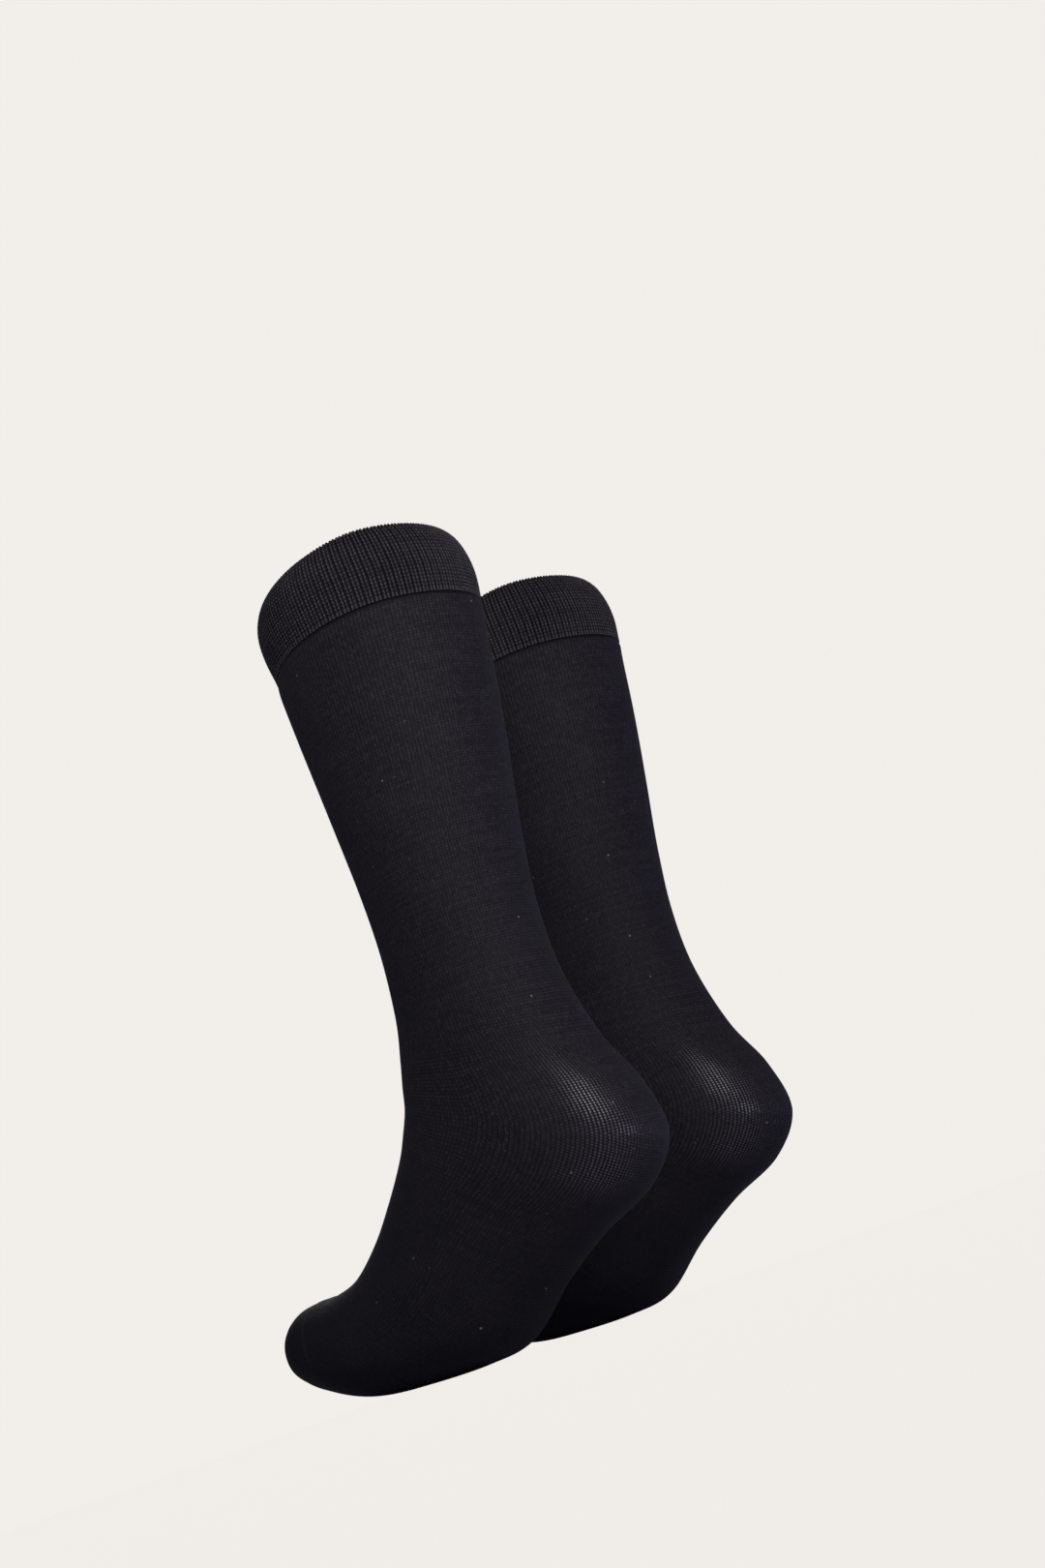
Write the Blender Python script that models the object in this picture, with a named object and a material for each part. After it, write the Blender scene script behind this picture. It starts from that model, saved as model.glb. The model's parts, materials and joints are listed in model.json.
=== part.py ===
"""A pair of plain mid-calf dress socks, standing on the toes as if worn.

Each sock is one knitted tube: a ribbed welt at the top, a plain leg, a heel
section that turns the tube forward, a foot and a rounded toe.  The tube is
swept through a short table of knitted courses (sections), one row for each,
measured in the plane that halves the sock from front to back.  Both socks
come from the same table; the left one stands at +X and the right one at -X.
Toes point to -Y, +Z is up, and the origin is midway between the two mouths, at
the height of their rims.
"""

import math
from typing import NamedTuple

import bmesh
import bpy
import numpy as np

COLLECTION = "sock_pair"
MM = 0.001

# ---- driving sizes, in millimetres -----------------------------------------
STANCE = 164.5          # between the two leg centres
RIM_HEIGHT = 380.0      # of the rims above the ground under the toes
JERSEY_WALL = 1.6       # plain knit of the leg, heel, foot and toe
WELT_WALL = 1.8         # ribbed knit of the welt, between the ribs
RIB_COUNT = 84          # one-by-one ribs around the welt
RIB_RISE = 0.6          # how far a rib stands out of the welt
SEAM_GAP = 0.3          # between two neighbouring pieces
RING_POINTS = 28        # points around a plain section
WELT_LINING_POINTS = 42  # points around the plain inside of the welt
TIP_DEPTH = 10.5        # the toe closes over this length past its last course
TIP_LEAN = math.radians(25.0)    # how far its closing arc leans in where it starts
TIP_COURSES = (0.26, 0.50, 0.74)  # shares of that arc that carry a course


class Course(NamedTuple):
    """One section of the tube, in millimetres, heights above the ground."""

    name: str
    front_y: float      # where the course crosses the shin and instep
    front_z: float
    back_y: float       # where it crosses the calf, heel and sole
    back_z: float
    half_width: float   # from the middle plane to the side
    fullness: float     # 2 is an ellipse, more is squarer
    low_widest: float   # moves the widest point toward the back and sole
    side_lift: float    # how far the course rises at its sides


COURSES = (
    Course("rim", -48.5, 374.0, 46.0, 382.5, 48.0, 2, 0, 4.5),
    Course("rim_turn", -56.0, 372.0, 50.5, 378.5, 49.7, 2, 0, 4.5),
    Course("welt_high", -60.5, 365.0, 53.5, 369.5, 50.3, 2, 0, 4.5),
    Course("welt_low", -61.0, 354.0, 54.5, 358.5, 50.0, 2, 0, 4.5),
    Course("welt_end", -58.8, 339.5, 52.8, 345.0, 48.8, 2, 0, 4.5),
    Course("leg_top", -58.8, 330.0, 51.0, 334.5, 48.2, 2, 0, 4.0),
    Course("calf", -57.4, 305.0, 46.5, 305.0, 46.5, 2, 0, 2.0),
    Course("shin", -54.4, 267.0, 39.5, 267.0, 44.0, 2, 0, 0.5),
    Course("lower_shin", -52.0, 228.0, 32.2, 228.0, 40.5, 2, 0, 0.0),
    Course("above_ankle", -51.4, 195.0, 27.8, 195.0, 37.2, 2.1, 0, 0.0),
    Course("ankle", -54.8, 166.0, 29.0, 161.0, 35.3, 2.1, 0, 0.0),
    Course("heel_start", -60.2, 146.7, 37.6, 125.3, 35.2, 2.1, 0, 0.0),
    Course("heel_back", -64.0, 134.3, 50.3, 98.2, 36.2, 2.1, 0, 0.0),
    Course("heel_gore", -66.7, 124.8, 54.2, 70.9, 37.2, 2.1, 0, 0.0),
    Course("heel_under", -71.1, 113.8, 36.6, 50.5, 37.2, 2.2, 0, 0.0),
    Course("heel_end", -76.0, 104.4, 6.8, 38.0, 36.8, 2.2, 0, 0.0),
    Course("arch", -87.0, 88.5, -21.7, 22.1, 39.6, 2.2, 0.05, 0.0),
    Course("ball_rear", -98.7, 73.0, -48.0, 3.6, 43.5, 2.3, 0.08, 0.0),
    Course("ball", -115.3, 59.2, -70.5, 0.0, 45.3, 2.3, 0.12, 0.0),
    Course("toe_roots", -130.5, 54.6, -97.8, 0.2, 45.4, 2.3, 0.15, 0.0),
    Course("toe_start", -138.7, 54.6, -124.3, 2.6, 42.8, 2.25, 0.12, 0.0),
    Course("toe_mid", -149.6, 53.9, -143.7, 10.4, 37.6, 2.2, 0.08, 0.0),
    Course("toe_end", -154.1, 52.5, -152.9, 15.3, 33.0, 2.15, 0.05, 0.0),
)
ROW_OF = {course.name: row for row, course in enumerate(COURSES)}
LAST_ROW = len(COURSES) - 1
TABLE = np.array([course[1:] for course in COURSES])


class Piece(NamedTuple):
    """A length of the tube between two courses, and how many rings it takes."""

    name: str
    first: str
    last: str
    rings: int
    color: tuple


JERSEY_BLACK = (0.012, 0.011, 0.014)
WELT_BLACK = (0.015, 0.014, 0.017)
JERSEY_PIECES = (
    Piece("leg", "welt_end", "heel_start", 12, JERSEY_BLACK),
    Piece("heel", "heel_start", "heel_end", 9, JERSEY_BLACK),
    Piece("foot", "heel_end", "toe_start", 9, JERSEY_BLACK),
    Piece("toe", "toe_start", "toe_end", 5, JERSEY_BLACK),
)
WELT = Piece("welt", "rim", "welt_end", 5, WELT_BLACK)


# ---- the tube ----------------------------------------------------------------
def table_rows(at):
    """Smooth values of every column at fractional row numbers of the table."""
    low = np.clip(np.floor(at).astype(int), 0, LAST_ROW - 1)
    part = (at - low)[:, None]
    before = TABLE[np.maximum(low - 1, 0)]
    here = TABLE[low]
    after = TABLE[low + 1]
    beyond = TABLE[np.minimum(low + 2, LAST_ROW)]
    slope = (after - before) * part
    bend = (2 * before - 5 * here + 4 * after - beyond) * part**2
    twist = (3 * here - before - 3 * after + beyond) * part**3
    return here + 0.5 * (slope + bend + twist)


def section_rows(at):
    """Table values along the tube; past the last row the toe closes in an arc."""
    rows = table_rows(np.minimum(at, LAST_ROW))
    turn = TIP_LEAN + np.clip(at - LAST_ROW, 0.0, 1.0) * (math.pi / 2 - TIP_LEAN)
    narrow = np.cos(turn) / math.cos(TIP_LEAN)
    reach = (np.sin(turn) - math.sin(TIP_LEAN)) / (1.0 - math.sin(TIP_LEAN))
    middle = (rows[:, 0:2] + rows[:, 2:4]) / 2
    half = (rows[:, 2:4] - rows[:, 0:2]) / 2 * narrow[:, None]
    middle[:, 0] -= TIP_DEPTH * reach
    rows[:, 0:2] = middle - half
    rows[:, 2:4] = middle + half
    rows[:, 4] *= narrow
    return rows


def rings(at, angles):
    """Points of the outside of the tube, a ring for each place in at."""
    rows = section_rows(np.asarray(at, dtype=float))
    middle = (rows[:, 0:2] + rows[:, 2:4]) / 2
    half = (rows[:, 2:4] - rows[:, 0:2]) / 2
    power = 2.0 / rows[:, 5:6]
    cosine = np.cos(angles)[None, :]
    sine = np.sin(angles)[None, :]
    back = np.sign(cosine) * np.abs(cosine) ** power
    side = np.sign(sine) * np.abs(sine) ** power
    x = rows[:, 4:5] * side * (1.0 + rows[:, 6:7] * back)
    y = middle[:, 0:1] + half[:, 0:1] * back
    z = middle[:, 1:2] + half[:, 1:2] * back + rows[:, 7:8] * sine**2
    return np.stack([x, y, z], axis=-1)


def outward(at, angles):
    """Unit normals of the outside of the tube at the points of rings()."""
    at = np.asarray(at, dtype=float)
    step = 0.02
    end = LAST_ROW + 1
    along = rings(np.minimum(at + step, end), angles) - rings(np.maximum(at - step, 0), angles)
    around = rings(at, angles + step) - rings(at, angles - step)
    normal = np.cross(around, along)
    return normal / np.linalg.norm(normal, axis=-1, keepdims=True)


def course_normals(at):
    """Unit vectors square to the plane of each course, pointing to the toe."""
    rows = section_rows(np.asarray(at, dtype=float))
    across = rows[:, 2:4] - rows[:, 0:2]
    across /= np.linalg.norm(across, axis=1, keepdims=True)
    zero = np.zeros(len(rows))
    return np.stack([zero, across[:, 1], -across[:, 0]], axis=1)


def pull_back_ends(points, at, first_end, last_end):
    """Moves the end rings half a seam gap into the piece."""
    normals = course_normals(at)
    if first_end:
        points[0] += normals[0] * SEAM_GAP / 2
    if last_end:
        points[-1] -= normals[-1] * SEAM_GAP / 2
    return points


# ---- faces -------------------------------------------------------------------
def wall_quads(ring_count, size, start):
    """Quads between neighbouring rings of the same size."""
    faces = []
    for ring in range(ring_count - 1):
        for point in range(size):
            following = (point + 1) % size
            low = start + ring * size
            faces.append((low + point, low + following, low + size + following, low + size + point))
    return faces


def edge_quads(outer, inner, size):
    """Quads that close the wall at one end, ring to ring."""
    faces = []
    for point in range(size):
        following = (point + 1) % size
        faces.append((outer + point, outer + following, inner + following, inner + point))
    return faces


def edge_fan(outer, inner, outer_size, inner_size):
    """Triangles that close the wall where four outer points meet one inner point."""
    faces = []
    for point in range(inner_size):
        following = (point + 1) % inner_size
        ribs = [outer + (4 * point + step) % outer_size for step in range(5)]
        near = inner + point
        far = inner + following
        faces.append((near, ribs[0], ribs[1]))
        faces.append((near, ribs[1], ribs[2]))
        faces.append((near, ribs[2], far))
        faces.append((far, ribs[2], ribs[3]))
        faces.append((far, ribs[3], ribs[4]))
    return faces


def tip_fan(ring, pole, size):
    """Triangles from the last ring of the toe to its tip."""
    return [(ring + point, ring + (point + 1) % size, pole) for point in range(size)]


# ---- pieces ------------------------------------------------------------------
def even_angles(size):
    """Angles around a section, from the middle of the back."""
    return np.arange(size) * 2 * math.pi / size


def jersey_tube(piece):
    """Points and faces of a plain length of the tube, open at both ends."""
    at = np.linspace(ROW_OF[piece.first], ROW_OF[piece.last], piece.rings)
    angles = even_angles(RING_POINTS)
    outside = rings(at, angles)
    inside = outside - JERSEY_WALL * outward(at, angles)
    outside = pull_back_ends(outside, at, True, True)
    inside = pull_back_ends(inside, at, True, True)
    lining = piece.rings * RING_POINTS
    last = (piece.rings - 1) * RING_POINTS
    faces = wall_quads(piece.rings, RING_POINTS, 0)
    faces += wall_quads(piece.rings, RING_POINTS, lining)
    faces += edge_quads(0, lining, RING_POINTS)
    faces += edge_quads(last, lining + last, RING_POINTS)
    points = np.concatenate([outside.reshape(-1, 3), inside.reshape(-1, 3)])
    return points, faces


def jersey_toe(piece):
    """Points and faces of the toe, open at the foot and closed at the tip."""
    body = np.linspace(ROW_OF[piece.first], ROW_OF[piece.last], piece.rings)
    closing = LAST_ROW + np.array(TIP_COURSES)
    at = np.concatenate([body, closing])
    angles = even_angles(RING_POINTS)
    outside = rings(at, angles)
    inside = outside - JERSEY_WALL * outward(at, angles)
    outside = pull_back_ends(outside, at, True, False)
    inside = pull_back_ends(inside, at, True, False)
    tip = rings([LAST_ROW + 1.0], angles[:1])[0]
    inner_tip = tip + np.array([[0.0, JERSEY_WALL, 0.0]])
    count = len(at)
    lining = count * RING_POINTS
    last = (count - 1) * RING_POINTS
    pole = 2 * count * RING_POINTS
    faces = wall_quads(count, RING_POINTS, 0)
    faces += wall_quads(count, RING_POINTS, lining)
    faces += edge_quads(0, lining, RING_POINTS)
    faces += tip_fan(last, pole, RING_POINTS)
    faces += tip_fan(lining + last, pole + 1, RING_POINTS)
    points = np.concatenate([outside.reshape(-1, 3), inside.reshape(-1, 3), tip, inner_tip])
    return points, faces


def ribbed_welt(piece):
    """Points and faces of the welt: raised ribs outside, plain inside."""
    at = np.linspace(ROW_OF[piece.first], ROW_OF[piece.last], piece.rings)
    rib_points = 2 * RIB_COUNT
    rib_angles = even_angles(rib_points)
    plain_angles = even_angles(WELT_LINING_POINTS)
    rise = np.where(np.arange(rib_points) % 2 == 0, RIB_RISE, 0.0)
    outside = rings(at, rib_angles)
    outside += (rise - RIB_RISE)[None, :, None] * outward(at, rib_angles)
    inside = rings(at, plain_angles) - (WELT_WALL + RIB_RISE) * outward(at, plain_angles)
    outside = pull_back_ends(outside, at, False, True)
    inside = pull_back_ends(inside, at, False, True)
    lining = piece.rings * rib_points
    faces = wall_quads(piece.rings, rib_points, 0)
    faces += wall_quads(piece.rings, WELT_LINING_POINTS, lining)
    last_outer = (piece.rings - 1) * rib_points
    last_inner = lining + (piece.rings - 1) * WELT_LINING_POINTS
    faces += edge_fan(0, lining, rib_points, WELT_LINING_POINTS)
    faces += edge_fan(last_outer, last_inner, rib_points, WELT_LINING_POINTS)
    points = np.concatenate([outside.reshape(-1, 3), inside.reshape(-1, 3)])
    return points, faces


def knit_material(name, color):
    """A dull, fine knit in one colour."""
    material = bpy.data.materials.new(name)
    material.use_nodes = True
    shader = material.node_tree.nodes["Principled BSDF"]
    shader.inputs["Base Color"].default_value = (*color, 1.0)
    shader.inputs["Roughness"].default_value = 0.9
    shader.inputs["Metallic"].default_value = 0.0
    return material


def add_piece(stand, name, points, faces, color):
    """Makes one closed, outward-facing mesh object that hangs on its sock's stand."""
    mesh = bpy.data.meshes.new(name)
    body = bmesh.new()
    corners = [body.verts.new(point * MM) for point in points]
    for face in faces:
        body.faces.new([corners[index] for index in face])
    bmesh.ops.recalc_face_normals(body, faces=body.faces)
    bmesh.ops.triangulate(body, faces=body.faces)
    body.to_mesh(mesh)
    body.free()
    mesh.shade_smooth()
    mesh.set_sharp_from_angle(angle=math.radians(50.0))
    mesh.materials.append(knit_material(name + "_knit", color))
    piece = bpy.data.objects.new(name, mesh)
    piece.parent = stand
    stand.users_collection[0].objects.link(piece)


def add_stand(collection, name, side):
    """Places one sock of the pair; its leg's axis runs through this empty."""
    stand = bpy.data.objects.new(name, None)
    stand.location = (side * STANCE / 2 * MM, 0.0, -RIM_HEIGHT * MM)
    collection.objects.link(stand)
    return stand


def build_sock(collection, name, side):
    """Adds the five pieces of one sock; side is +1 for the left and -1 for the right."""
    stand = add_stand(collection, name + "_stand", side)
    points, faces = ribbed_welt(WELT)
    add_piece(stand, name + "_welt", points, faces, WELT.color)
    for piece in JERSEY_PIECES:
        shape = jersey_toe if piece.name == "toe" else jersey_tube
        points, faces = shape(piece)
        add_piece(stand, f"{name}_{piece.name}", points, faces, piece.color)


def clear_scene():
    """Removes every object that a new file starts with."""
    for thing in list(bpy.data.objects):
        bpy.data.objects.remove(thing, do_unlink=True)


def main():
    """Builds both socks into one collection."""
    clear_scene()
    collection = bpy.data.collections.new(COLLECTION)
    bpy.context.scene.collection.children.link(collection)
    build_sock(collection, "left", 1)
    build_sock(collection, "right", -1)


main()
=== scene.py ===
"""The look of a pair of plain black dress socks, knitted and worn to shape.

Each sock is two sheets of knit over the solids of the frame: a ribbed welt with
every rib and stitch raised, and one plain jersey tube for the leg, heel, foot and
toe. The knit is counted as on the machine: wales run along the tube and courses go
round it, and the heel pocket and the toe pocket each close along a gore line.
Lengths are in millimetres in the forms and in metres in the meshes.
"""

import json
import logging
import math
from dataclasses import dataclass, field
from enum import Enum
from typing import Any

import bpy
import numpy as np
from mathutils import Matrix, Vector

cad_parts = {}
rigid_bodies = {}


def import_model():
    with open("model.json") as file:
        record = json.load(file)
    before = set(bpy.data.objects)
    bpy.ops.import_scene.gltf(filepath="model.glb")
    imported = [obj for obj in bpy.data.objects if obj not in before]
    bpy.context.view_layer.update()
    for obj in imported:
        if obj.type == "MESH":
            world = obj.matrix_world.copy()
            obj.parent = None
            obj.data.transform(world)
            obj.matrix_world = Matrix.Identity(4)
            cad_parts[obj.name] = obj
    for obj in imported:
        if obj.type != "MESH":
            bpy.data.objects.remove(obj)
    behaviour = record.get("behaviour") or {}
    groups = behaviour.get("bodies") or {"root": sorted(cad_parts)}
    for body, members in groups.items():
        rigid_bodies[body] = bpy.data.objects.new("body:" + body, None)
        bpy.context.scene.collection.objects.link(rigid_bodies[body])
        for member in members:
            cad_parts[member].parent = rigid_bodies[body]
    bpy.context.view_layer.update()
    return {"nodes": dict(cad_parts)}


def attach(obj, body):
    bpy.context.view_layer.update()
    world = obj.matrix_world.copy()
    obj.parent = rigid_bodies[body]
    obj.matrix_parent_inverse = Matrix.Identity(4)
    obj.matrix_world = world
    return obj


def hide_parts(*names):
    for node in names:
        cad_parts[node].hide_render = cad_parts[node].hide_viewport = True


LOG = logging.getLogger("socks")
MM = 0.001
BODY = "root"

Array = np.ndarray
Colour = tuple[float, float, float]
Place = tuple[float, float, float]


class Side(Enum):
    """Which sock of the pair, and the way it stands from the middle along X."""

    LEFT = 1
    RIGHT = -1

    @property
    def prefix(self) -> str:
        """The word that starts the names of this sock's nodes and pieces."""
        return self.name.lower()


class Slot(Enum):
    """The material slots of the record for the knit; the finishes here don't read them."""

    PLAIN = "plain_knit"
    RIB = "rib_knit"


# ---- the form of one sock ---------------------------------------------------
COURSE_NAMES = (
    "rim", "rim_turn", "welt_high", "welt_low", "welt_end", "leg_top", "calf", "shin",
    "lower_shin", "above_ankle", "ankle", "heel_start", "heel_back", "heel_gore",
    "heel_under", "heel_end", "arch", "ball_rear", "ball", "toe_roots", "toe_start",
    "toe_mid", "toe_end",
)
# front_y, front_z, back_y, back_z, half_width, fullness, low_widest, side_lift
COURSE_SIZES = np.array(
    (
        (-48.5, 374.0, 46.0, 382.5, 48.0, 2, 0, 4.5),
        (-56.0, 372.0, 50.5, 378.5, 49.7, 2, 0, 4.5),
        (-60.5, 365.0, 53.5, 369.5, 50.3, 2, 0, 4.5),
        (-61.0, 354.0, 54.5, 358.5, 50.0, 2, 0, 4.5),
        (-58.8, 339.5, 52.8, 345.0, 48.8, 2, 0, 4.5),
        (-58.8, 330.0, 51.0, 334.5, 48.2, 2, 0, 4.0),
        (-57.4, 305.0, 46.5, 305.0, 46.5, 2, 0, 2.0),
        (-54.4, 267.0, 39.5, 267.0, 44.0, 2, 0, 0.5),
        (-52.0, 228.0, 32.2, 228.0, 40.5, 2, 0, 0.0),
        (-51.4, 195.0, 27.8, 195.0, 37.2, 2.1, 0, 0.0),
        (-54.8, 166.0, 29.0, 161.0, 35.3, 2.1, 0, 0.0),
        (-60.2, 146.7, 37.6, 125.3, 35.2, 2.1, 0, 0.0),
        (-64.0, 134.3, 50.3, 98.2, 36.2, 2.1, 0, 0.0),
        (-66.7, 124.8, 54.2, 70.9, 37.2, 2.1, 0, 0.0),
        (-71.1, 113.8, 36.6, 50.5, 37.2, 2.2, 0, 0.0),
        (-76.0, 104.4, 6.8, 38.0, 36.8, 2.2, 0, 0.0),
        (-87.0, 88.5, -21.7, 22.1, 39.6, 2.2, 0.05, 0.0),
        (-98.7, 73.0, -48.0, 3.6, 43.5, 2.3, 0.08, 0.0),
        (-115.3, 59.2, -70.5, 0.0, 45.3, 2.3, 0.12, 0.0),
        (-130.5, 54.6, -97.8, 0.2, 45.4, 2.3, 0.15, 0.0),
        (-138.7, 54.6, -124.3, 2.6, 42.8, 2.25, 0.12, 0.0),
        (-149.6, 53.9, -143.7, 10.4, 37.6, 2.2, 0.08, 0.0),
        (-154.1, 52.5, -152.9, 15.3, 33.0, 2.15, 0.05, 0.0),
    )
)


def smooth_step(value: Array, low: float, high: float) -> Array:
    """Eases from 0 at low to 1 at high, t*t*(3 - 2t).

    Args:
        value: Where to read it.
        low: Where it leaves 0.
        high: Where it reaches 1; it may be less than low.

    Returns:
        Values from 0 to 1, the shape of value.
    """
    t = np.clip((value - low) / (high - low), 0.0, 1.0)
    return t * t * (3.0 - 2.0 * t)


@dataclass(frozen=True)
class SockForm:
    """The outside of one worn sock, swept through its table of courses.

    A place on it is `at`, a course number that runs from the rim to the toe and may
    be fractional, and an angle round the tube, 0 at the middle of the back, heel and
    sole and pi at the shin and instep.
    """

    side: Side
    stance: float = 164.5
    rim_height: float = 380.0
    tip_depth: float = 10.5
    tip_lean: float = math.radians(25.0)
    last: int = len(COURSE_NAMES) - 1

    @staticmethod
    def row_of(name: str) -> int:
        """The course number of a named course."""
        return COURSE_NAMES.index(name)

    def rows(self, at: Array) -> Array:
        """Reads every column at fractional course numbers.

        The columns run through the table's values on a Catmull-Rom spline,
        h + ((a-b)p + (2b-5h+4a-c)p^2 + (3h-b-3a+c)p^3) / 2. Past the last course the
        toe closes along an arc, which starts leaning in by tip_lean: while the turn
        runs from there to a right angle, the ring narrows as cos(turn) / cos(lean) and
        goes forward by (sin(turn) - sin(lean)) / (1 - sin(lean)) of tip_depth.

        Args:
            at: Course numbers, from 0 to last + 1.

        Returns:
            One row of eight columns for each number.
        """
        inside = np.minimum(at, self.last)
        low = np.clip(np.floor(inside).astype(int), 0, self.last - 1)
        p = (inside - low)[:, None]
        b, h = COURSE_SIZES[np.maximum(low - 1, 0)], COURSE_SIZES[low]
        a, c = COURSE_SIZES[low + 1], COURSE_SIZES[np.minimum(low + 2, self.last)]
        bend = (2 * b - 5 * h + 4 * a - c) * p**2
        rows = h + 0.5 * ((a - b) * p + bend + (3 * h - b - 3 * a + c) * p**3)
        lean = self.tip_lean
        turn = lean + np.clip(at - self.last, 0.0, 1.0) * (math.pi / 2 - lean)
        narrow = np.cos(turn) / math.cos(lean)
        reach = (np.sin(turn) - math.sin(lean)) / (1.0 - math.sin(lean))
        middle = (rows[:, 0:2] + rows[:, 2:4]) / 2
        half = (rows[:, 2:4] - rows[:, 0:2]) / 2 * narrow[:, None]
        middle[:, 0] -= self.tip_depth * reach
        rows[:, 0:2], rows[:, 2:4] = middle - half, middle + half
        rows[:, 4] *= narrow
        return rows

    def rings(self, at: Array, angles: Array) -> Array:
        """Points of the outside, a ring for each course number.

        A ring is a superellipse: back = sign(cos)|cos|^(2/f) and side the same of the
        sine, with f the fullness.

        Args:
            at: Course numbers.
            angles: Angles round the tube, in radians.

        Returns:
            Points in millimetres, in the frame's axes, (at, angles, 3).
        """
        rows = self.rows(np.asarray(at, dtype=float))
        middle = (rows[:, 0:2] + rows[:, 2:4]) / 2
        half = (rows[:, 2:4] - rows[:, 0:2]) / 2
        power = 2.0 / rows[:, 5:6]
        cosine, sine = np.cos(angles)[None, :], np.sin(angles)[None, :]
        back = np.sign(cosine) * np.abs(cosine) ** power
        side = np.sign(sine) * np.abs(sine) ** power
        x = rows[:, 4:5] * side * (1.0 + rows[:, 6:7] * back)
        y = middle[:, 0:1] + half[:, 0:1] * back
        z = middle[:, 1:2] + half[:, 1:2] * back + rows[:, 7:8] * sine**2
        x += self.side.value * self.stance / 2
        return np.stack([x, y, z - self.rim_height], axis=-1)

    def outward(self, at: Array, angles: Array) -> Array:
        """Unit normals of the outside at the points of rings().

        Each is the cross product of the way round the tube and the way along it, both
        measured between points a small step to either side.

        Args:
            at: Course numbers.
            angles: Angles round the tube, in radians.

        Returns:
            The normals, (at, angles, 3).
        """
        step = 0.02
        ahead = self.rings(np.minimum(at + step, self.last + 1.0 - step), angles)
        along = ahead - self.rings(np.maximum(at - step, 0.0), angles)
        around = self.rings(at, angles + step) - self.rings(at, angles - step)
        normal = np.cross(around, along)
        return normal / np.linalg.norm(normal, axis=-1, keepdims=True)

    def toeward(self, at: Array) -> Array:
        """Unit vectors square to the plane of each course, pointing to the toe.

        Args:
            at: Course numbers.

        Returns:
            The vectors, (at, 3).
        """
        rows = self.rows(np.asarray(at, dtype=float))
        across = rows[:, 2:4] - rows[:, 0:2]
        across /= np.linalg.norm(across, axis=1, keepdims=True)
        return np.stack([np.zeros(len(rows)), across[:, 1], -across[:, 0]], axis=1)


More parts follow.
